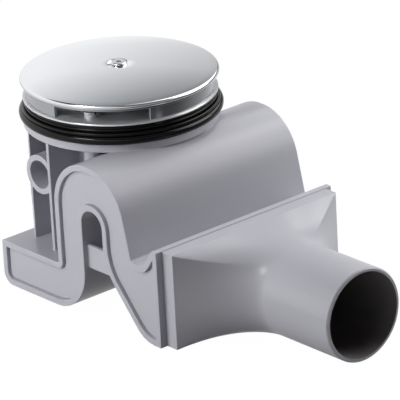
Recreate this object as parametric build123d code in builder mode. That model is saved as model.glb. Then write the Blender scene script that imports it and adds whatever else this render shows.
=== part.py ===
from build123d import *
import os
from math import cos, radians, sin, tan

os.makedirs("parts", exist_ok=True)

# Tray drain with an S-shaped water trap. Millimetres, +Z up, +X towards the outlet.
# The origin is on the drain's axis, in the top face of the trap's round flange.

# Driving dimensions of the trap body
body_width = 121.0
base_z = -89.5
wall = 3.4
trough_left = -32.5
trough_height = 24.7
trough_corner_radius = 7.0
trough_bend_radius = 25.0
riser_left = 14.6
slot_left = 36.0
slot_width = 16.2
slot_top = -28.1
hump_top = -3.7
hump_radius = 27.0
hump_lean = 0.227
valley_z = -47.5
valley_start = 74.6
valley_end = 83.0
leg_knee_height = 33.3
leg_knee_radius = 32.0
leg_toe_x = 81.8
leg_toe_radius = 18.0
outlet_face = 94.7
outlet_top = -36.6
outlet_shoulder = 3.7
web_low = 27.3
web_high = 40.1

# Side plates that close the channel
plate_recess = 2.0
plate_thickness = 2.5
plate_step = 1.0
weld_gap = 0.1

# Round flange, throat and shaft of the trap body
flange_radius = 52.0
flange_thickness = 4.4
throat_radius = 34.0
throat_depth = 3.2
shaft_radius = 31.0
shaft_wall = 2.5
rib_thickness = 2.2
side_rib_x = -21.0
rib_inset = 0.6

# Blind socket at the front, between the ribs
socket_x = -12.2
socket_z = -26.3
socket_radius = 10.9
socket_bore = 7.7
socket_mouth_y = -48.0
socket_depth = 18.0

# Clamping screws and their inserts
screw_count = 3
screw_circle_radius = 40.0
screw_start_angle = -63.0
screw_radius = 2.5
screw_head_radius = 4.2
screw_head_height = 3.4
screw_end_z = -9.0
boss_radius = 4.8
boss_end_z = -24.0
insert_radius = 3.5
insert_length = 9.0
thread_gap = 0.05
insert_gap = 0.05

# Rubber gaskets
gasket_inner_radius = 45.0
bead_radius = 54.0
bead_height = 4.3
bead_rounding = 1.9
groove_radius = 51.9
lip_radius = 52.5
lip_height = 6.2
lower_gasket_thickness = 3.8
upper_gasket_radius = 50.3
upper_gasket_height = 6.2
ridge_radius = 0.7
ridge_reach = 0.8
ridge_height = 3.5
gasket_gap = 0.3

# Chrome clamping flange
clamp_radius = 51.6
clamp_thickness = 1.0
collar_radius = 33.5
collar_bore = 31.6
collar_end_z = -1.6

# Strainer dish
strainer_rim_radius = 31.2
strainer_rim = 1.2
strainer_wall = 1.6
strainer_top_radius = 26.0
strainer_bottom_radius = 17.0
strainer_depth = 12.0
strainer_slots = 12
strainer_slot_width = 2.6

# Cover and its carrier
window_height = 6.9
carrier_radius = 50.0
carrier_wall = 2.0
carrier_top_ring = 1.5
carrier_top_radius = 51.3
carrier_ring_width = 6.0
window_count = 3
window_start_angle = -83.0
window_span = 61.0
spoke_width = 6.0
spoke_thickness = 2.4
hub_radius = 6.5
hub_depth = 7.6
cover_radius = 52.5
cover_edge = 2.0
cover_crown = 4.1
cover_sheet = 1.8
recess_radius = 6.3
recess_depth = 1.3
cover_screw_radius = 2.5
cover_screw_head = 4.3
cover_screw_raise = 1.0
cover_screw_length = 9.5
cover_insert_radius = 3.6
cover_insert_length = 6.4

# Outlet adapter
adapter_width = 113.0
adapter_lift = 0.4
adapter_top = -37.1
adapter_flange = 7.9
adapter_wall = 3.0
spigot_radius = 25.0
spigot_wall = 2.0
funnel_length = 32.0
funnel_steps = [0.1, 0.22, 0.36, 0.52, 0.7, 0.87]
funnel_corner_in = 1.8
funnel_corner_turn = 3.0
funnel_side_in = 1.5
spigot_end = 182.3
spigot_chamfer = 0.8

# Sizes that follow from the driving ones
half_width = body_width / 2
trough_top = base_z + trough_height
leg_knee_z = base_z + leg_knee_height
slot_right = slot_left + slot_width
slot_arch = slot_width / 2 - 0.1
hump_right = valley_start - hump_lean * (hump_top - valley_z)
shaft_bore = shaft_radius - shaft_wall
plate_seat = half_width - plate_recess - plate_thickness
clamp_seat = lower_gasket_thickness + upper_gasket_height
clamp_top = clamp_seat + clamp_thickness
carrier_top = clamp_top + window_height + carrier_top_ring
cover_rim_top = carrier_top + cover_edge
crown_z = cover_rim_top + cover_crown
spigot_z = base_z + spigot_radius
screw_angles = [screw_start_angle + i * 360 / screw_count for i in range(screw_count)]


def moved_in(corners, inset):
    """The same corners with each side moved inwards, and the radii changed to match."""
    moved = []
    for i, (point, radius) in enumerate(corners):
        here = Vector(*point)
        arriving = (here - Vector(*corners[i - 1][0])).normalized()
        leaving = (Vector(*corners[(i + 1) % len(corners)][0]) - here).normalized()
        inward = Vector(-arriving.Y - leaving.Y, arriving.X + leaving.X)
        here += inward * (inset / (1 + arriving.dot(leaving)))
        bulges_out = arriving.cross(leaving).Z > 0
        radius = max(radius - inset, 0) if bulges_out else radius + inset
        moved.append(((here.X, here.Y), radius))
    return moved


def trap_profile(inset=0.0):
    """The trap seen from its side: trough, hump, slot and slanted leg. inset gives the channel inside it."""
    shoulder_x = outlet_face - outlet_shoulder
    slope = (outlet_top - valley_z) / (shoulder_x - valley_end)
    if inset:
        outlet_wall_top = [((outlet_face, outlet_top + slope * outlet_shoulder), 0)]
    else:
        outlet_wall_top = [((outlet_face, outlet_top), 0), ((shoulder_x, outlet_top), 1.0)]
    corners = [
        ((trough_left, base_z), trough_corner_radius),
        ((slot_left, base_z), trough_bend_radius),
        ((slot_left, slot_top), slot_arch),
        ((slot_right, slot_top), slot_arch),
        ((slot_right, leg_knee_z), leg_knee_radius),
        ((leg_toe_x, base_z), leg_toe_radius),
        ((outlet_face, base_z), 0),
        *outlet_wall_top,
        ((valley_end, valley_z), 5.0),
        ((valley_start, valley_z), 2.5),
        ((hump_right, hump_top), hump_radius),
        ((riser_left, hump_top), hump_radius),
        ((riser_left, trough_top), 1.0),
        ((trough_left, trough_top), 1.0),
    ]
    if inset:
        corners = moved_in(corners, inset)
    points = [point for point, radius in corners]
    radii = [radius for point, radius in corners]
    with BuildSketch(mode=Mode.PRIVATE) as profile:
        with BuildLine():
            FilletPolyline(points, radius=radii, close=True)
        make_face()
    return profile.sketch


def around(radius, angle, z=0.0):
    """A point at a radius and angle round the drain's axis."""
    return (radius * cos(radians(angle)), radius * sin(radians(angle)), z)


# Trap body: flange, shaft, ribs, bosses, socket and S-shaped channel in one moulding
rib_reach = flange_radius - rib_inset
with BuildPart() as trap_body:
    with BuildSketch(Plane.XZ.offset(half_width)):
        add(trap_profile())
    extrude(amount=-body_width)

    # Round flange and the shaft down to the trough
    with BuildSketch(Plane.XY.offset(-flange_thickness)):
        Circle(flange_radius)
    extrude(amount=flange_thickness)
    with BuildSketch(Plane.XY.offset(trough_top - wall / 2)):
        Circle(shaft_radius)
    extrude(amount=-flange_thickness / 2 - trough_top + wall / 2)

    # Ribs from the shaft out to the edge of the flange, front and back
    with BuildSketch(Plane.XY.offset(trough_top - wall / 2)) as rib_plan:
        with Locations((0, 0), (side_rib_x, 0)):
            Rectangle(rib_thickness, 2 * rib_reach)
        with BuildSketch(mode=Mode.PRIVATE) as rib_limit:
            Circle(rib_reach)
        add(rib_limit.sketch, mode=Mode.INTERSECT)
    extrude(amount=-flange_thickness / 2 - trough_top + wall / 2)

    # Screw bosses under the flange, each with a web to the shaft
    with BuildSketch(Plane.XY.offset(boss_end_z)):
        with Locations(*[around(screw_circle_radius, angle) for angle in screw_angles]):
            Circle(boss_radius)
        with PolarLocations(shaft_radius + 2, screw_count, start_angle=screw_start_angle):
            Rectangle(screw_circle_radius - shaft_radius, rib_thickness)
    extrude(amount=-flange_thickness / 2 - boss_end_z)

    # Socket that stands out of the shaft towards the front
    with BuildSketch(Plane.XZ.offset(-socket_mouth_y)):
        with Locations((socket_x, socket_z)):
            Circle(socket_radius)
    extrude(amount=socket_mouth_y + shaft_bore * 0.8)

    # The channel through the S, wider at both ends where the side plates go in
    with BuildSketch(Plane.XZ.offset(half_width)):
        add(trap_profile(wall + plate_step))
    extrude(amount=-body_width, mode=Mode.SUBTRACT)
    for side in (-1, 1):
        with BuildSketch(Plane.XZ.offset(side * plate_seat)):
            add(trap_profile(wall))
        extrude(amount=side * (half_width - plate_seat), mode=Mode.SUBTRACT)
    with BuildSketch(Plane.YZ.offset(outlet_face - 2 * wall)):
        with Locations((0, (base_z + valley_z) / 2 + wall)):
            Rectangle(2 * plate_seat - 2 * wall, valley_z - base_z - 2 * wall)
    extrude(amount=3 * wall, mode=Mode.SUBTRACT)

    # The shaft's bore stops at the hump's outer wall and opens into the trough below
    with BuildPart(mode=Mode.PRIVATE) as shaft_space:
        with BuildSketch(Plane.XY.offset(trough_top)):
            Circle(shaft_bore)
        extrude(amount=-trough_top)
        with BuildSketch(Plane.XY.offset(-throat_depth)):
            Circle(throat_radius)
        extrude(amount=throat_depth)
        with BuildSketch(Plane.XZ.offset(half_width)):
            add(trap_profile())
        extrude(amount=-body_width, mode=Mode.SUBTRACT)
    add(shaft_space.part, mode=Mode.SUBTRACT)
    with BuildSketch(Plane.XY.offset(trough_top - wall - 2 * plate_step)):
        Circle(shaft_bore)
        with Locations((riser_left, 0)):
            Rectangle(4 * shaft_radius, 4 * shaft_radius, align=(Align.MIN, Align.CENTER), mode=Mode.SUBTRACT)
    extrude(amount=wall + 3 * plate_step, mode=Mode.SUBTRACT)

    # Webs across the slot, set back behind both sides
    for side in (-1, 1):
        with BuildSketch(Plane.XZ.offset(side * (half_width - plate_recess - 1))):
            with Locations(((slot_left + slot_right) / 2, base_z + web_low)):
                Rectangle(slot_width + wall, web_high - web_low, align=(Align.CENTER, Align.MIN))
        extrude(amount=-side * rib_thickness)

    # Bores for the screw inserts and the blind bore of the socket
    with Locations(*[around(screw_circle_radius, angle) for angle in screw_angles]):
        Hole(insert_radius + insert_gap, depth=insert_length + insert_gap)
    with Locations(Location(Plane.XZ.offset(-socket_mouth_y) * Location((socket_x, socket_z, 0)))):
        Hole(socket_bore, depth=socket_depth)
trap_body.part.label = "trap_body"
export_step(trap_body.part, "parts/trap_body.step")


# Side plates, welded on to the step inside the rim
for side, plate_name in ((1, "side_plate_front"), (-1, "side_plate_rear")):
    with BuildPart() as side_plate:
        with BuildSketch(Plane.XZ.offset(side * plate_seat)):
            add(trap_profile(wall + weld_gap))
        extrude(amount=side * plate_thickness)
    side_plate.part.label = plate_name
    export_step(side_plate.part, f"parts/{plate_name}.step")


# Outlet adapter: flange, funnel from rectangle to circle, and spigot
adapter_bottom = base_z + adapter_lift
adapter_middle = (adapter_top + adapter_bottom) / 2
adapter_front = outlet_face + adapter_flange
spigot_start = adapter_front + funnel_length


def funnel_section(way, inset, spigot):
    """The funnel's outline part of the way along: four arcs, from the flange's rectangle to the spigot's circle."""
    corner_in = 1 - (1 - way) ** funnel_corner_in
    corner_turn = 1 - (1 - way) ** funnel_corner_turn
    side_in = 1 - (1 - way) ** funnel_side_in
    diagonal = spigot * cos(radians(45))
    width = adapter_width / 2 - inset
    low = adapter_bottom + inset
    high = adapter_top - inset
    corner_y = width + (diagonal - width) * corner_in
    corner_low = low + (spigot_z - diagonal - low) * corner_turn
    corner_high = high + (spigot_z + diagonal - high) * corner_turn
    side_y = width + (spigot - width) * side_in
    middle_low = low + (spigot_z - spigot - low) * way
    middle_high = high + (spigot_z + spigot - high) * way
    side_z = (corner_low + corner_high) / 2
    with BuildSketch(mode=Mode.PRIVATE) as outline:
        with BuildLine():
            ThreePointArc((-corner_y, corner_low), (0, middle_low), (corner_y, corner_low))
            ThreePointArc((corner_y, corner_low), (side_y, side_z), (corner_y, corner_high))
            ThreePointArc((corner_y, corner_high), (0, middle_high), (-corner_y, corner_high))
            ThreePointArc((-corner_y, corner_high), (-side_y, side_z), (-corner_y, corner_low))
        make_face()
    return outline.sketch


def funnel(start, inset, spigot):
    """A solid that goes smoothly from the flange's rectangle to the spigot's circle."""
    with BuildPart(mode=Mode.PRIVATE) as shape:
        with BuildSketch(Plane.YZ.offset(start)):
            with Locations((0, adapter_middle)):
                Rectangle(adapter_width - 2 * inset, adapter_top - adapter_bottom - 2 * inset)
        for way in [*funnel_steps, 1]:
            with BuildSketch(Plane.YZ.offset(start + way * funnel_length)):
                add(funnel_section(way, inset, spigot))
        loft()
    return shape.part


with BuildPart() as outlet_adapter:
    with BuildSketch(Plane.YZ.offset(outlet_face)):
        with Locations((0, adapter_middle)):
            Rectangle(adapter_width, adapter_top - adapter_bottom)
    extrude(amount=adapter_flange)
    add(funnel(adapter_front, 0, spigot_radius))
    with BuildSketch(Plane.YZ.offset(spigot_start)):
        with Locations((0, spigot_z)):
            Circle(spigot_radius)
    extrude(amount=spigot_end - spigot_start)
    chamfer(outlet_adapter.faces().sort_by(Axis.X)[-1].edges(), spigot_chamfer)

    # Inside: the same shapes, one wall smaller and set back by one wall
    with BuildSketch(Plane.YZ.offset(outlet_face)):
        with Locations((0, adapter_middle)):
            Rectangle(adapter_width - 2 * adapter_wall, adapter_top - adapter_bottom - 2 * adapter_wall)
    extrude(amount=adapter_flange - adapter_wall, mode=Mode.SUBTRACT)
    add(funnel(adapter_front - adapter_wall, adapter_wall, spigot_radius - spigot_wall), mode=Mode.SUBTRACT)
    with BuildSketch(Plane.YZ.offset(spigot_start - adapter_wall)):
        with Locations((0, spigot_z)):
            Circle(spigot_radius - spigot_wall)
    extrude(amount=spigot_end - spigot_start + adapter_wall, mode=Mode.SUBTRACT)
outlet_adapter.part.label = "outlet_adapter"
export_step(outlet_adapter.part, "parts/outlet_adapter.step")


# Lower gasket: flat ring on the flange, with a fat bead outside its edge and a lip that stands up inside the bead
with BuildPart() as lower_gasket:
    with BuildSketch(Plane.XZ):
        with BuildLine():
            lip_inner = upper_gasket_radius + gasket_gap
            FilletPolyline(
                (gasket_inner_radius, 0),
                (bead_radius, 0),
                (bead_radius, bead_height),
                (groove_radius, bead_height),
                (lip_radius, bead_height + 0.5),
                (lip_radius, lip_height),
                (lip_inner, lip_height),
                (lip_inner, lower_gasket_thickness),
                (gasket_inner_radius, lower_gasket_thickness),
                radius=[0, bead_rounding, bead_rounding, 0.1, 0.2, 0.6, 0.4, 0, 0],
                close=True,
            )
        make_face()
    revolve(axis=Axis.Z)
lower_gasket.part.label = "lower_gasket"
export_step(lower_gasket.part, "parts/lower_gasket.step")


# Upper gasket: ring with a ridge round its outer face
with BuildPart() as upper_gasket:
    with BuildSketch(Plane.XZ):
        with Locations((gasket_inner_radius, lower_gasket_thickness)):
            Rectangle(
                upper_gasket_radius - gasket_inner_radius, upper_gasket_height, align=(Align.MIN, Align.MIN)
            )
        with Locations((upper_gasket_radius + ridge_reach - ridge_radius, lower_gasket_thickness + ridge_height)):
            Circle(ridge_radius)
    revolve(axis=Axis.Z)
upper_gasket.part.label = "upper_gasket"
export_step(upper_gasket.part, "parts/upper_gasket.step")


# Clamping flange: flat chrome ring with a collar into the throat
with BuildPart() as clamp_flange:
    with BuildSketch(Plane.XY.offset(clamp_seat)):
        Circle(clamp_radius)
        Circle(collar_bore, mode=Mode.SUBTRACT)
    extrude(amount=clamp_thickness)
    with BuildSketch(Plane.XY.offset(collar_end_z)):
        Circle(collar_radius)
        Circle(collar_bore, mode=Mode.SUBTRACT)
    extrude(amount=clamp_seat - collar_end_z)
    with Locations(*[around(screw_circle_radius, angle, clamp_top) for angle in screw_angles]):
        Hole(screw_radius + gasket_gap, depth=2 * clamp_thickness)
clamp_flange.part.label = "clamp_flange"
export_step(clamp_flange.part, "parts/clamp_flange.step")


# Clamping screws with round slotted heads, and the threaded inserts that take them
for number, angle in enumerate(screw_angles, start=1):
    with BuildPart() as clamp_screw:
        with BuildSketch(Plane.XY.offset(clamp_top)):
            with Locations(around(screw_circle_radius, angle)):
                Circle(screw_head_radius)
        extrude(amount=screw_head_height)
        fillet(clamp_screw.faces().sort_by(Axis.Z)[-1].edges(), 0.6)
        with BuildSketch(Plane.XY.offset(clamp_top + screw_head_height)):
            with Locations(around(screw_circle_radius, angle)):
                Rectangle(2 * screw_head_radius, 1.2)
        extrude(amount=-1.4, mode=Mode.SUBTRACT)
        with BuildSketch(Plane.XY.offset(screw_end_z)):
            with Locations(around(screw_circle_radius, angle)):
                Circle(screw_radius)
        extrude(amount=clamp_top - screw_end_z)
    clamp_screw.part.label = f"clamp_screw_{number}"
    export_step(clamp_screw.part, f"parts/clamp_screw_{number}.step")

    with BuildPart() as screw_insert:
        with BuildSketch(Plane.XY.offset(-insert_length)):
            with Locations(around(screw_circle_radius, angle)):
                Circle(insert_radius)
                Circle(screw_radius + thread_gap, mode=Mode.SUBTRACT)
        extrude(amount=insert_length)
    screw_insert.part.label = f"screw_insert_{number}"
    export_step(screw_insert.part, f"parts/screw_insert_{number}.step")


# Strainer dish with radial slots, resting on the ledge in the throat
with BuildPart() as hair_strainer:
    with BuildSketch(Plane.XZ):
        with BuildLine():
            rim_top = strainer_rim - throat_depth
            Polyline(
                (0, rim_top - strainer_depth),
                (strainer_bottom_radius, rim_top - strainer_depth),
                (strainer_top_radius, -throat_depth),
                (strainer_rim_radius, -throat_depth),
                (strainer_rim_radius, rim_top),
                (strainer_top_radius - strainer_wall / 2, rim_top),
                (strainer_bottom_radius - strainer_wall, rim_top - strainer_depth + strainer_wall),
                (0, rim_top - strainer_depth + strainer_wall),
                close=True,
            )
        make_face()
    revolve(axis=Axis.Z)
    with BuildSketch(Plane.XY.offset(rim_top - strainer_depth)):
        with PolarLocations((strainer_bottom_radius + strainer_top_radius) / 2 - 5, strainer_slots):
            SlotOverall(9, strainer_slot_width)
        Circle(1.6)
        with PolarLocations(5.5, 6):
            Circle(1.6)
    extrude(amount=strainer_depth / 2, mode=Mode.SUBTRACT)
hair_strainer.part.label = "hair_strainer"
export_step(hair_strainer.part, "parts/hair_strainer.step")


# Cover carrier: ring with three windows, three spokes and a hub for the cover's screw
with BuildPart() as cover_carrier:
    with BuildSketch(Plane.XY.offset(clamp_top)):
        Circle(carrier_radius)
        Circle(carrier_radius - carrier_wall, mode=Mode.SUBTRACT)
        for number in range(window_count):
            start = window_start_angle + number * 360 / window_count
            with BuildLine():
                reach = 2 * carrier_radius
                Polyline(
                    (0, 0),
                    around(reach, start)[:2],
                    around(reach, start + window_span / 2)[:2],
                    around(reach, start + window_span)[:2],
                    close=True,
                )
            make_face(mode=Mode.SUBTRACT)
    extrude(amount=window_height)
    with BuildSketch(Plane.XY.offset(clamp_top + window_height)):
        Circle(carrier_top_radius)
        Circle(carrier_radius - carrier_ring_width, mode=Mode.SUBTRACT)
    extrude(amount=carrier_top_ring)
    spoke_start = window_start_angle - (360 / window_count - window_span) / 2
    with BuildSketch(Plane.XY.offset(carrier_top - spoke_thickness)):
        with PolarLocations(carrier_radius / 2 - 1, window_count, start_angle=spoke_start):
            Rectangle(carrier_radius - 4, spoke_width)
        Circle(hub_radius)
    extrude(amount=spoke_thickness)
    with BuildSketch(Plane.XY.offset(carrier_top - hub_depth)):
        Circle(hub_radius)
    extrude(amount=hub_depth)
    with BuildSketch(Plane.XY.offset(carrier_top)):
        Circle(cover_insert_radius + insert_gap)
    extrude(amount=-cover_insert_length, mode=Mode.SUBTRACT)
    with BuildSketch(Plane.XY.offset(carrier_top - hub_depth)):
        Circle(cover_screw_radius + gasket_gap)
    extrude(amount=hub_depth, mode=Mode.SUBTRACT)
cover_carrier.part.label = "cover_carrier"
export_step(cover_carrier.part, "parts/cover_carrier.step")

with BuildPart() as cover_insert:
    with BuildSketch(Plane.XY.offset(carrier_top - cover_insert_length)):
        Circle(cover_insert_radius)
        Circle(cover_screw_radius + thread_gap, mode=Mode.SUBTRACT)
    extrude(amount=cover_insert_length)
cover_insert.part.label = "cover_insert"
export_step(cover_insert.part, "parts/cover_insert.step")


# Cover disc: shallow dome with a turned-down edge, an underside rib and a countersunk centre
dome_radius = (cover_radius**2 + cover_crown**2) / (2 * cover_crown)
dome_centre_z = crown_z - dome_radius
with BuildPart() as cover_disc:
    with BuildSketch(Plane.XZ):
        with BuildLine():
            RadiusArc((0, crown_z), (cover_radius, cover_rim_top), dome_radius)
            Line((cover_radius, cover_rim_top), (cover_radius, carrier_top))
            Line((cover_radius, carrier_top), (0, carrier_top))
            Line((0, carrier_top), (0, crown_z))
        make_face()
    revolve(axis=Axis.Z)
    with BuildSketch(Plane.XZ):
        with BuildLine():
            shell_edge = cover_radius - cover_edge - cover_sheet
            inner_rise = cover_crown * (shell_edge / cover_radius) ** 2
            inner_top = crown_z - cover_sheet
            RadiusArc((0, inner_top), (shell_edge, inner_top - inner_rise), dome_radius)
            Line((shell_edge, inner_top - inner_rise), (shell_edge, carrier_top))
            Line((shell_edge, carrier_top), (0, carrier_top))
            Line((0, carrier_top), (0, inner_top))
        make_face()
        with Locations((0, carrier_top)):
            Rectangle(hub_radius, 2 * cover_crown + 2, align=(Align.MIN, Align.MIN), mode=Mode.SUBTRACT)
    revolve(axis=Axis.Z, mode=Mode.SUBTRACT)
    with BuildSketch(Plane.XZ):
        with BuildLine():
            Polyline(
                (0, crown_z + 1),
                (recess_radius, crown_z + 1),
                (recess_radius, crown_z - recess_depth / 3),
                (cover_screw_head, crown_z - recess_depth),
                (cover_screw_radius + gasket_gap, crown_z - recess_depth),
                (cover_screw_radius + gasket_gap, carrier_top - 1),
                (0, carrier_top - 1),
                close=True,
            )
        make_face()
    revolve(axis=Axis.Z, mode=Mode.SUBTRACT)
cover_disc.part.label = "cover_disc"
export_step(cover_disc.part, "parts/cover_disc.step")

# Cover screw with a low raised head and a hexagon socket
with BuildPart() as cover_screw:
    head_seat = crown_z - recess_depth
    with BuildSketch(Plane.XY.offset(head_seat)):
        Circle(cover_screw_head)
    extrude(amount=recess_depth + cover_screw_raise)
    fillet(cover_screw.faces().sort_by(Axis.Z)[-1].edges(), 0.9)
    with BuildSketch(Plane.XY.offset(head_seat + recess_depth + cover_screw_raise)):
        RegularPolygon(1.6, 6)
    extrude(amount=-1.5, mode=Mode.SUBTRACT)
    with BuildSketch(Plane.XY.offset(head_seat)):
        Circle(cover_screw_radius)
    extrude(amount=-cover_screw_length)
cover_screw.part.label = "cover_screw"
export_step(cover_screw.part, "parts/cover_screw.step")
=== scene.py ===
from math import cos, pi, radians, sin, sqrt

import bmesh
import bpy
from mathutils import Matrix, Vector


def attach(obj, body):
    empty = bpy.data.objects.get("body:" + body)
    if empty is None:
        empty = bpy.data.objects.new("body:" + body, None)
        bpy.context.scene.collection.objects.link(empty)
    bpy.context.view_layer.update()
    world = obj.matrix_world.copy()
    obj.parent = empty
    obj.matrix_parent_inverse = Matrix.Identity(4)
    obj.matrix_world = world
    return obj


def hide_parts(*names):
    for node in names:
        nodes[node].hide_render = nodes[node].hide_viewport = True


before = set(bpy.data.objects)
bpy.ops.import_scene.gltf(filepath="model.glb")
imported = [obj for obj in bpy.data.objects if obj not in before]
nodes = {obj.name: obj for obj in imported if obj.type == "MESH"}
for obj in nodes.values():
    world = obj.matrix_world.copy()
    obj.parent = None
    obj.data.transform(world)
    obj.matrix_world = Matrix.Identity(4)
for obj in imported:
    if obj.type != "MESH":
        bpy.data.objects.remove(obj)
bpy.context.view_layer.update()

# The trap body is one injection moulding in grey plastic: a round flange, the shaft with its ribs, screw
# bosses and side socket, and the S-shaped channel. Its rims are as round as the mould leaves them, so their
# rounding isn't held back by the narrow faces beside them.
MM = 0.001
scene = bpy.context.scene


def finish(name, colour, roughness, metallic=0.0, specular=0.5):
    material = bpy.data.materials.new(name)
    material.use_nodes = True
    shader = material.node_tree.nodes["Principled BSDF"]
    shader.inputs["Base Color"].default_value = (*colour, 1)
    shader.inputs["Roughness"].default_value = roughness
    shader.inputs["Metallic"].default_value = metallic
    shader.inputs["Specular IOR Level"].default_value = specular
    return material


def soft_edged(node, material, edge, segments=2, sharp=32, held=True):
    """A copy of a CAD piece with its triangles joined into faces and its edges rounded."""
    same_place, flat = 0.002 * MM, radians(0.3)
    solid = bmesh.new()
    solid.from_mesh(nodes[node].data)
    bmesh.ops.remove_doubles(solid, verts=solid.verts, dist=same_place)
    bmesh.ops.dissolve_limit(
        solid, angle_limit=flat, verts=solid.verts, edges=solid.edges, delimit={"NORMAL"}
    )
    mesh = bpy.data.meshes.new(node + "_look")
    solid.to_mesh(mesh)
    solid.free()
    for face in mesh.polygons:
        face.use_smooth = True
    mesh.set_sharp_from_angle(angle=radians(sharp))
    mesh.materials.append(material)
    piece = bpy.data.objects.new(node + "_look", mesh)
    scene.collection.objects.link(piece)
    rounding = piece.modifiers.new("rounding", "BEVEL")
    rounding.width = edge * MM
    rounding.segments = segments
    rounding.limit_method = "ANGLE"
    rounding.angle_limit = radians(sharp)
    rounding.use_clamp_overlap = held
    rounding.loop_slide = False
    rounding.harden_normals = True
    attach(piece, "root")
    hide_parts(node)
    return piece


grey_plastic = finish("grey_plastic", (0.42, 0.42, 0.462), 0.28, specular=0.4)
soft_edged("trap_body", grey_plastic, edge=0.4, segments=3, held=False)

# The two side plates are flat mouldings of the same plastic, welded into the step inside the S-shaped
# rim. They close the channel, and lie a little below the rim.
soft_edged("side_plate_front", grey_plastic, edge=0.2, segments=1)
soft_edged("side_plate_rear", grey_plastic, edge=0.2, segments=1)

# The outlet adapter is one more moulding: a thick rectangular flange, a funnel from the rectangle to a
# circle, and a plain spigot. The flange is welded to the outlet face of the body. The bore's inner faces
# get a darker grey as painted shade, for the shade deep inside the pipe.
adapter = soft_edged("outlet_adapter", grey_plastic, edge=0.3, sharp=24)
bore_painted_shade = finish("bore_painted_shade", (0.2, 0.185, 0.185), 0.4, specular=0.3)
adapter.data.materials.append(bore_painted_shade)
bore_start, bore_end, bore_axis_z = 100.5 * MM, 181.9 * MM, -64.5 * MM
# Painted shade: faces inside the bore that face the spigot's axis take the darker grey.
for face in adapter.data.polygons:
    outwards = Vector((0, face.center.y, face.center.z - bore_axis_z))
    if bore_start < face.center.x < bore_end and face.normal.dot(outwards) < 0:
        face.material_index = 1

# The inserts are turned from brass, with a thread for the clamping screws. They are moulded into the body's
# bosses, and nothing shows of them once the gaskets lie on the flange.
brass = finish("brass", (0.72, 0.53, 0.25), 0.25, metallic=1.0)
for number in (1, 2, 3):
    insert = nodes[f"screw_insert_{number}"]
    insert.data.materials.clear()
    insert.data.materials.append(brass)

# The hair strainer is a slotted dish, moulded in darker plastic. It lies loose on the ledge in the throat,
# and lifts out for cleaning.
strainer_grey = finish("strainer_grey", (0.2, 0.2, 0.21), 0.4)
soft_edged("hair_strainer", strainer_grey, edge=0.2)


# The lower gasket is a black rubber ring: a flat part that seals under the tray, a fat bead round the
# edge of the flange, and a lip that stands up inside the bead.
def turned(name, node, profile, material, roundings=None, steps=192):
    """A ring or disc turned round the drain's axis from (radius, height) corners in millimetres.

    The roundings say for a corner's number in the profile how large its radius is, and in how many steps.
    """
    same_place, smooth = 0.001 * MM, radians(30)
    ring = bmesh.new()
    corners = [ring.verts.new((radius * MM, 0, height * MM)) for radius, height in profile]
    for here, after in zip(corners, corners[1:] + corners[:1]):
        ring.edges.new((here, after))
    for corner, (size, segments) in (roundings or {}).items():
        bmesh.ops.bevel(
            ring,
            geom=[corners[corner]],
            affect="VERTICES",
            offset=size * MM,
            segments=segments,
            profile=0.5,
            material=-1,
        )
    bmesh.ops.spin(
        ring,
        geom=ring.verts[:] + ring.edges[:],
        cent=(0, 0, 0),
        axis=(0, 0, 1),
        angle=2 * pi,
        steps=steps,
        use_merge=True,
    )
    bmesh.ops.remove_doubles(ring, verts=ring.verts, dist=same_place)
    bmesh.ops.recalc_face_normals(ring, faces=ring.faces)
    mesh = bpy.data.meshes.new(name)
    ring.to_mesh(mesh)
    ring.free()
    for face in mesh.polygons:
        face.use_smooth = True
    mesh.set_sharp_from_angle(angle=smooth)
    mesh.materials.append(material)
    piece = bpy.data.objects.new(name, mesh)
    scene.collection.objects.link(piece)
    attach(piece, "root")
    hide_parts(node)
    return piece


black_rubber = finish("black_rubber", (0.004, 0.003, 0.003), 0.1, specular=0.28)
bead = (1.9, 8)
bead_side = [(45, 0), (53.98, 0), (53.98, 4.3)]
lip_side = [(51.9, 4.3), (52.5, 4.8), (52.5, 6.2), (50.6, 6.2), (50.6, 3.8), (45, 3.8)]
turned(
    "lower_gasket_ring",
    "lower_gasket",
    bead_side + lip_side,
    black_rubber,
    {1: bead, 2: bead, 3: (0.1, 2), 4: (0.2, 3), 5: (0.6, 4), 6: (0.4, 3)},
)

# The upper gasket is a second ring of the same rubber, clamped between the tray and the flange above it.
# A thin ridge runs round its outer face.
ridge = (0.45, 4)
turned(
    "upper_gasket_ring",
    "upper_gasket",
    [(45, 3.8), (50.3, 3.8), (50.3, 6.6), (51.1, 6.8), (51.1, 7.8), (50.3, 8), (50.3, 10), (45, 10)],
    black_rubber,
    {3: ridge, 4: ridge},
)

# The clamping flange is a metal ring with a satin finish: flat, with a chamfered outer edge, and with a
# collar that reaches into the throat. Three screws hold it down on the gaskets.
flange_metal = finish("flange_metal", (0.6, 0.61, 0.63), 0.25, metallic=0.5)
edge_break = (0.2, 2)
turned(
    "clamp_flange_ring",
    "clamp_flange",
    [(31.6, -1.6), (33.5, -1.6), (33.5, 10), (51.6, 10), (51.6, 10.4), (51.25, 11), (31.6, 11)],
    flange_metal,
    {3: edge_break, 4: edge_break, 5: edge_break, 6: (0.8, 4)},
)

# The clamping screws are steel, with low round slotted heads that sit on the clamping flange. They go
# through the gaskets into the inserts.
steel = finish("steel", (0.72, 0.73, 0.75), 0.2, metallic=1.0)
for number in (1, 2, 3):
    soft_edged(f"clamp_screw_{number}", steel, edge=0.15)

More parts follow.
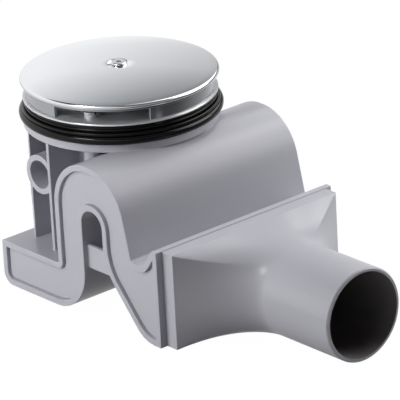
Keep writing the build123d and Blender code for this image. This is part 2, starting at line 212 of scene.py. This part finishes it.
# The carrier is a chromed ring with three windows for the water, spokes and a hub with a brass insert. It
# lifts out with the cover, and its plating is duller inside, where no one polishes it.
carrier_metal = finish("carrier_metal", (0.5, 0.51, 0.53), 0.12, metallic=1.0)
carrier_inside = finish("carrier_inside", (0.5, 0.51, 0.53), 0.4, metallic=0.5)
carrier = soft_edged("cover_carrier", carrier_metal, edge=0.2)
carrier.data.materials.append(carrier_inside)
polished_from = 46 * MM
for face in carrier.data.polygons:
    outwards = Vector((face.center.x, face.center.y, 0))
    if outwards.length < polished_from or face.normal.dot(outwards) < 0:
        face.material_index = 1
soft_edged("cover_insert", brass, edge=0.15)

# The cover is a shallow dome of chromed sheet with a turned-down edge, and a countersunk place for its
# screw in the centre.
dome_radius, outer_crown, inner_crown = 338.2, 25.5, 23.7


def dome_point(radius, crown):
    """The corner of the profile at this radius, on a dome with its crown at this height."""
    return radius, crown - dome_radius + sqrt(dome_radius**2 - radius**2)


chrome = finish("chrome", (0.84, 0.85, 0.88), 0.09, metallic=1.0)
underside = [dome_point(radius, inner_crown) for radius in (6.5, 14, 22, 30, 38, 44, 48.7)]
top_side = [dome_point(radius, outer_crown) for radius in (52.5, 48, 43, 38, 33, 28, 23, 18, 13, 9, 6.3)]
turned(
    "cover_dome",
    "cover_disc",
    [(2.8, 19.4), (6.5, 19.4), *underside, (48.7, 19.4), (52.5, 19.4), *top_side]
    + [(6.3, 25.07), (4.3, 24.2), (2.8, 24.2)],
    chrome,
    {10: (0.3, 3), 11: (1.2, 10), 21: (0.25, 3)},
)

# The cover screw is polished steel, with a low head and a hexagon socket. It stands a little proud of the
# countersunk place, and goes into the insert in the carrier's hub.
soft_edged("cover_screw", steel, edge=0.12)

# Camera: the photo's own viewpoint, with its small roll
azimuth, elevation, roll = radians(49.925), radians(22.305), radians(-3.144)
cover_middle = Vector((0, 0, 0.0214))
aside, below, distance = 0.04236, 0.06795, 2.2222
back = Vector((sin(azimuth) * cos(elevation), -cos(azimuth) * cos(elevation), sin(elevation)))
level_right = Vector((cos(azimuth), sin(azimuth), 0))
level_up = back.cross(level_right)
right = cos(roll) * level_right + sin(roll) * level_up
up = -sin(roll) * level_right + cos(roll) * level_up
camera = bpy.data.objects.new("camera", bpy.data.cameras.new("camera"))
scene.collection.objects.link(camera)
camera.rotation_mode = "QUATERNION"
camera.rotation_quaternion = Matrix((right, up, back)).transposed().to_quaternion()
camera.location = cover_middle + aside * right - below * up + distance * back
camera.data.sensor_width = 36
camera.data.lens = 381.6
camera.data.clip_start = 0.1
camera.data.clip_end = 20
scene.camera = camera

# World: a white backdrop for the camera. Reflections see it greyer on the right and overhead, with a dark
# band round a grey ceiling, as a studio is, and everything else gets a low room light.
world = bpy.data.worlds.new("studio")
world.use_nodes = True
scene.world = world
tree = world.node_tree
tree.nodes.clear()
output = tree.nodes.new("ShaderNodeOutputWorld")
direction = tree.nodes.new("ShaderNodeTexCoord")
height = tree.nodes.new("ShaderNodeSeparateXYZ")
tree.links.new(direction.outputs["Generated"], height.inputs["Vector"])
overhead = tree.nodes.new("ShaderNodeValToRGB")
stops = [(0.0, 1.0), (0.08, 0.95), (0.16, 0.85), (0.375, 0.77), (0.55, 0.48), (0.64, 0.28), (0.8, 0.26)]
darkening_to_the_right, dimmest, brightest = -1.8, 0.28, 1.0
while len(overhead.color_ramp.elements) < len(stops):
    overhead.color_ramp.elements.new(1.0)
for stop, (position, grey) in zip(overhead.color_ramp.elements, stops):
    stop.position = position
    stop.color = (grey, grey, grey, 1)
tree.links.new(height.outputs["Z"], overhead.inputs["Fac"])
sideways = tree.nodes.new("ShaderNodeVectorMath")
sideways.operation = "DOT_PRODUCT"
sideways.inputs[1].default_value = level_right
tree.links.new(direction.outputs["Generated"], sideways.inputs[0])
falloff = tree.nodes.new("ShaderNodeMath")
falloff.operation = "MULTIPLY_ADD"
falloff.inputs[1].default_value = darkening_to_the_right
tree.links.new(sideways.outputs["Value"], falloff.inputs[0])
tree.links.new(overhead.outputs["Color"], falloff.inputs[2])
limited = tree.nodes.new("ShaderNodeClamp")
limited.inputs["Min"].default_value = dimmest
limited.inputs["Max"].default_value = brightest
tree.links.new(falloff.outputs["Value"], limited.inputs["Value"])
path = tree.nodes.new("ShaderNodeLightPath")
white = tree.nodes.new("ShaderNodeBackground")
white.inputs["Color"].default_value = (1, 1, 1, 1)
reflected = tree.nodes.new("ShaderNodeBackground")
ceiling = tree.nodes.new("ShaderNodeValToRGB")
pale, dark = (0.95, 0.98, 1.0), (0.05, 0.05, 0.06)
tints = [(0.5, (1, 1, 1)), (0.6, pale), (0.67, pale), (0.76, dark), (0.87, dark), (0.96, pale)]
while len(ceiling.color_ramp.elements) < len(tints):
    ceiling.color_ramp.elements.new(1.0)
for stop, (position, tint) in zip(ceiling.color_ramp.elements, tints):
    stop.position = position
    stop.color = (*tint, 1)
tree.links.new(height.outputs["Z"], ceiling.inputs["Fac"])
dimmed = tree.nodes.new("ShaderNodeVectorMath")
dimmed.operation = "MULTIPLY"
tree.links.new(limited.outputs["Result"], dimmed.inputs[0])
tree.links.new(ceiling.outputs["Color"], dimmed.inputs[1])
tree.links.new(dimmed.outputs["Vector"], reflected.inputs["Color"])
room = tree.nodes.new("ShaderNodeBackground")
room.inputs["Color"].default_value = (0.95, 0.96, 1.0, 1)
room.inputs["Strength"].default_value = 0.02
mirror = tree.nodes.new("ShaderNodeMath")
mirror.operation = "MAXIMUM"
tree.links.new(path.outputs["Is Glossy Ray"], mirror.inputs[0])
tree.links.new(path.outputs["Is Transmission Ray"], mirror.inputs[1])
lit = tree.nodes.new("ShaderNodeMixShader")
tree.links.new(mirror.outputs["Value"], lit.inputs["Fac"])
tree.links.new(room.outputs["Background"], lit.inputs[1])
tree.links.new(reflected.outputs["Background"], lit.inputs[2])
seen = tree.nodes.new("ShaderNodeMixShader")
tree.links.new(path.outputs["Is Camera Ray"], seen.inputs["Fac"])
tree.links.new(lit.outputs["Shader"], seen.inputs[1])
tree.links.new(white.outputs["Background"], seen.inputs[2])
tree.links.new(seen.outputs["Shader"], output.inputs["Surface"])

# Floor: a plain white sheet under the drain. It shows white and keeps a little of the shadow. The glow
# that reflections see is painted darker towards the outlet, as painted shade where the lamps don't reach.
half_width, just_under_the_base = 3, -0.0897
shown_share, paper_grey, camera_white = 0.97, (0.42, 0.42, 0.42, 1), 1.02
bright_reach, dark_reach, bright_share, dark_share = 0.0, 0.43, 0.75, 0.06
towards_the_outlet = (1.41, 0.12, 0)
sheet = bmesh.new()
bmesh.ops.create_grid(sheet, x_segments=1, y_segments=1, size=half_width)
bmesh.ops.translate(sheet, verts=sheet.verts, vec=(0, 0, just_under_the_base))
floor_mesh = bpy.data.meshes.new("floor")
sheet.to_mesh(floor_mesh)
sheet.free()
floor_paper = bpy.data.materials.new("floor_paper")
floor_paper.use_nodes = True
tree = floor_paper.node_tree
tree.nodes.clear()
output = tree.nodes.new("ShaderNodeOutputMaterial")
mixed = tree.nodes.new("ShaderNodeMixShader")
path = tree.nodes.new("ShaderNodeLightPath")
mirror = tree.nodes.new("ShaderNodeMath")
mirror.operation = "MAXIMUM"
seen = tree.nodes.new("ShaderNodeMath")
seen.operation = "MAXIMUM"
share = tree.nodes.new("ShaderNodeMath")
share.operation = "MULTIPLY"
share.inputs[1].default_value = shown_share
paper = tree.nodes.new("ShaderNodeBsdfDiffuse")
paper.inputs["Color"].default_value = paper_grey
glow = tree.nodes.new("ShaderNodeEmission")
place = tree.nodes.new("ShaderNodeTexCoord")
across = tree.nodes.new("ShaderNodeVectorMath")
across.operation = "DOT_PRODUCT"
across.inputs[1].default_value = towards_the_outlet
tree.links.new(place.outputs["Object"], across.inputs[0])
# Painted shade: the glow that reflections see falls off towards the outlet.
darker = tree.nodes.new("ShaderNodeMapRange")
darker.inputs["From Min"].default_value = bright_reach
darker.inputs["From Max"].default_value = dark_reach
darker.inputs["To Min"].default_value = bright_share
darker.inputs["To Max"].default_value = dark_share
tree.links.new(across.outputs["Value"], darker.inputs["Value"])
shade = tree.nodes.new("ShaderNodeMix")
shade.inputs["A"].default_value = camera_white
tree.links.new(mirror.outputs["Value"], shade.inputs["Factor"])
tree.links.new(darker.outputs["Result"], shade.inputs["B"])
tree.links.new(shade.outputs["Result"], glow.inputs["Strength"])
tree.links.new(path.outputs["Is Glossy Ray"], mirror.inputs[0])
tree.links.new(path.outputs["Is Transmission Ray"], mirror.inputs[1])
tree.links.new(mirror.outputs["Value"], seen.inputs[0])
tree.links.new(path.outputs["Is Camera Ray"], seen.inputs[1])
tree.links.new(seen.outputs["Value"], share.inputs[0])
tree.links.new(share.outputs["Value"], mixed.inputs["Fac"])
tree.links.new(paper.outputs["BSDF"], mixed.inputs[1])
tree.links.new(glow.outputs["Emission"], mixed.inputs[2])
tree.links.new(mixed.outputs["Shader"], output.inputs["Surface"])
floor_mesh.materials.append(floor_paper)
floor = bpy.data.objects.new("floor", floor_mesh)
scene.collection.objects.link(floor)

# Lights: soft boxes low, high and in front on the left, two on the right, and two large ones behind and
# above. Three of them light the drain without showing in its reflections.
aim = Vector((0.06, 0, -0.03))


def softbox(name, place, size, energy):
    light = bpy.data.lights.new(name, "AREA")
    light.shape = "RECTANGLE"
    light.size, light.size_y = size
    light.energy = energy
    lamp = bpy.data.objects.new(name, light)
    lamp.location = place
    lamp.rotation_mode = "QUATERNION"
    lamp.rotation_quaternion = (Vector(place) - aim).to_track_quat("Z", "Y")
    scene.collection.objects.link(lamp)
    return lamp


softbox("left", (-0.14, -0.51, 0.08), (0.3, 0.3), 1.95).visible_glossy = False
softbox("left_high", (0.01, -0.68, 0.69), (0.3, 0.14), 2.4)
softbox("left_front", (0.16, -1.21, 0.67), (0.8, 0.8), 1.6)
softbox("right", (0.22, 0.24, 0.0), (0.16, 0.16), 0.24).visible_glossy = False
softbox("right_high", (0.25, 0.37, 0.28), (0.36, 0.36), 1.15)
softbox("behind", (-0.08, 0.98, 0.96), (1.2, 1.2), 8.3)
softbox("above", (-0.39, 0.38, 1.24), (0.8, 0.8), 6.0).visible_glossy = False

scene.view_settings.view_transform = "Standard"
